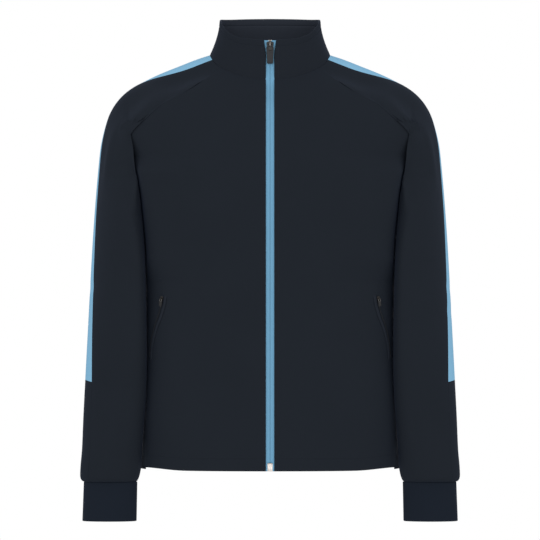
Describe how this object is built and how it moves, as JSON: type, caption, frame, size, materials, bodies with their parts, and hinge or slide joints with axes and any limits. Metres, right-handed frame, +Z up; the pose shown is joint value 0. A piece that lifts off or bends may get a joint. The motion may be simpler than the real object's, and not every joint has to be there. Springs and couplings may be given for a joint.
{
  "type": "track jacket",
  "caption": "Hollow zip-through track jacket with standing collar, raglan sleeves, light shoulder-to-forearm stripes, knit cuffs, side-seam zip pockets and hem vents.",
  "frame": {"origin": "middle of the neck at the height where the collar meets the shoulders, where the wearer's neck and shoulders hold the jacket up", "axes": "+Z up towards the collar's rim, -Y out of the zipped front, +X to the wearer's left"},
  "size_m": [0.6334, 0.245, 0.8441],
  "materials": {
    "navy_knit": "smooth double-knit polyester with a faint sheen",
    "navy_rib": "close knit",
    "stripe_knit": "smooth double-knit polyester with a faint sheen",
    "zip_tape": "woven zip tape over a reversed nylon coil",
    "pocket_zip": "dark nylon coil",
    "gunmetal": "dark lacquered zip metal",
    "grey_pull": "grey lacquer, satin",
    "silver_metal": "bright zip metal"
  },
  "bodies": {
    "jacket": {"front_left": "navy_knit", "front_right": "navy_knit", "back": "navy_knit", "sleeve_front_left": "navy_knit", "sleeve_front_right": "navy_knit", "sleeve_back_left": "navy_knit", "sleeve_back_right": "navy_knit", "stripe_left": "stripe_knit", "stripe_right": "stripe_knit", "sleeve_strip_left": "navy_knit", "sleeve_strip_right": "navy_knit", "cuff_left": "navy_rib", "cuff_right": "navy_rib", "collar": "navy_knit", "zip_tape_left": "zip_tape", "zip_tape_right": "zip_tape", "zip_slider": "gunmetal", "zip_box": "silver_metal", "pocket_zip_left": "pocket_zip", "pocket_zip_right": "pocket_zip", "pocket_welt_left": "navy_knit", "pocket_welt_right": "navy_knit", "pocket_slider_left": "silver_metal", "pocket_slider_right": "silver_metal"},
    "main_pull": {"zip_pull": "grey_pull"},
    "left_pocket_pull": {"pocket_pull_left": "silver_metal"},
    "right_pocket_pull": {"pocket_pull_right": "silver_metal"}
  },
  "joints": [
    {"name": "zip_pull_swing", "type": "hinge", "parent": "jacket", "child": "main_pull", "pos_m": [0, -0.06766, 0.02081], "axis": [-1, 0, 0], "range_deg": [0, 165]},
    {"name": "pocket_pull_left_swing", "type": "hinge", "parent": "jacket", "child": "left_pocket_pull", "pos_m": [0.18057, -0.09081, -0.40045], "axis": [-0.7987, -0.577, -0.1709], "range_deg": [0, 150]},
    {"name": "pocket_pull_right_swing", "type": "hinge", "parent": "jacket", "child": "right_pocket_pull", "pos_m": [-0.18057, -0.09081, -0.40045], "axis": [-0.7987, 0.577, 0.1709], "range_deg": [0, 150]}
  ]
}
